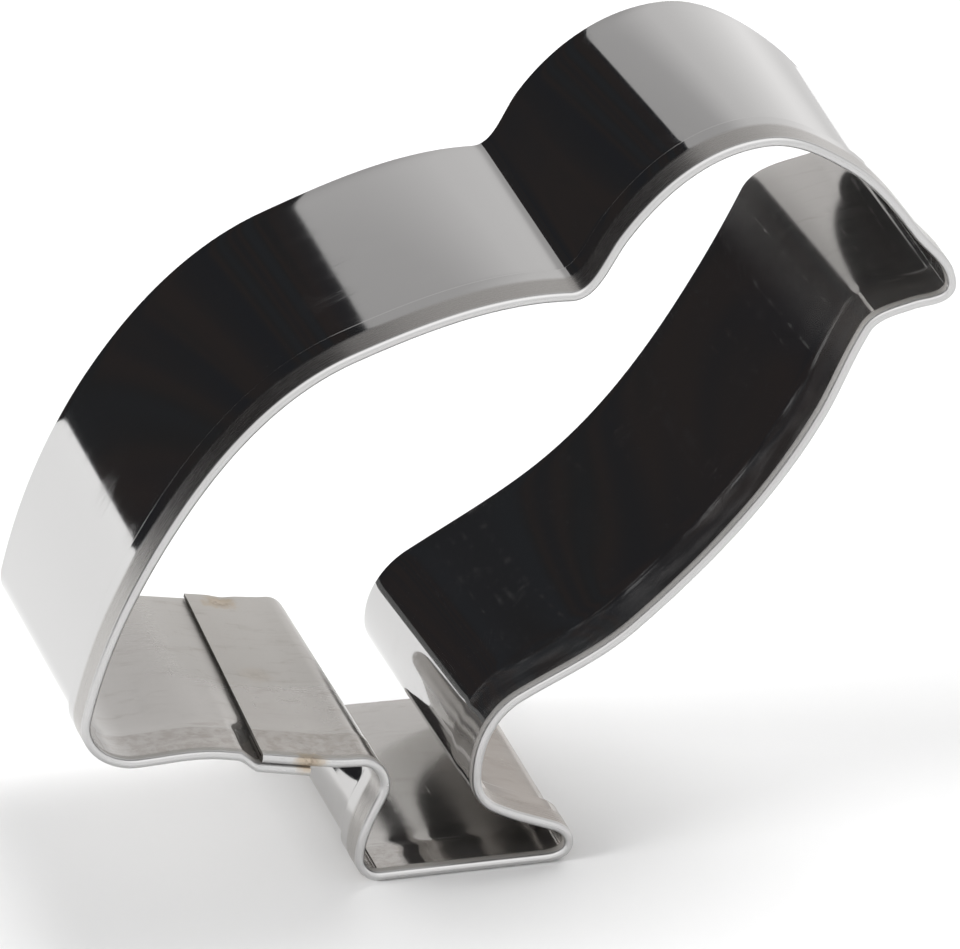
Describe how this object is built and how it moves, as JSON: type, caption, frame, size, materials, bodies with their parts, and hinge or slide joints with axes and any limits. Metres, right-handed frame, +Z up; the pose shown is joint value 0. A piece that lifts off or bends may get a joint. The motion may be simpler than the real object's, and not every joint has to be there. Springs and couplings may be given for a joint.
{
  "type": "cookie cutter",
  "caption": "Bird-shaped cookie cutter: a thin steel strip with a hemmed rim, bent round the outline and closed by a spot-welded lap, for pressing shapes out of rolled dough.",
  "frame": {"origin": "middle of the flat face that the hem gives the sole of the bird's foot", "axes": "+Z up, +X towards the beak, +Y from the hemmed rim towards the cutting edge"},
  "size_m": [0.057, 0.025, 0.0487],
  "materials": {
    "polished_steel": "mirror-polished sheet with a satin hem",
    "heat_tinted_weld": "heat-tinted"
  },
  "bodies": {
    "root": {"cutter_band": "polished_steel", "spot_weld_rim": "heat_tinted_weld", "spot_weld_middle": "heat_tinted_weld", "spot_weld_edge": "heat_tinted_weld"}
  },
  "joints": []
}
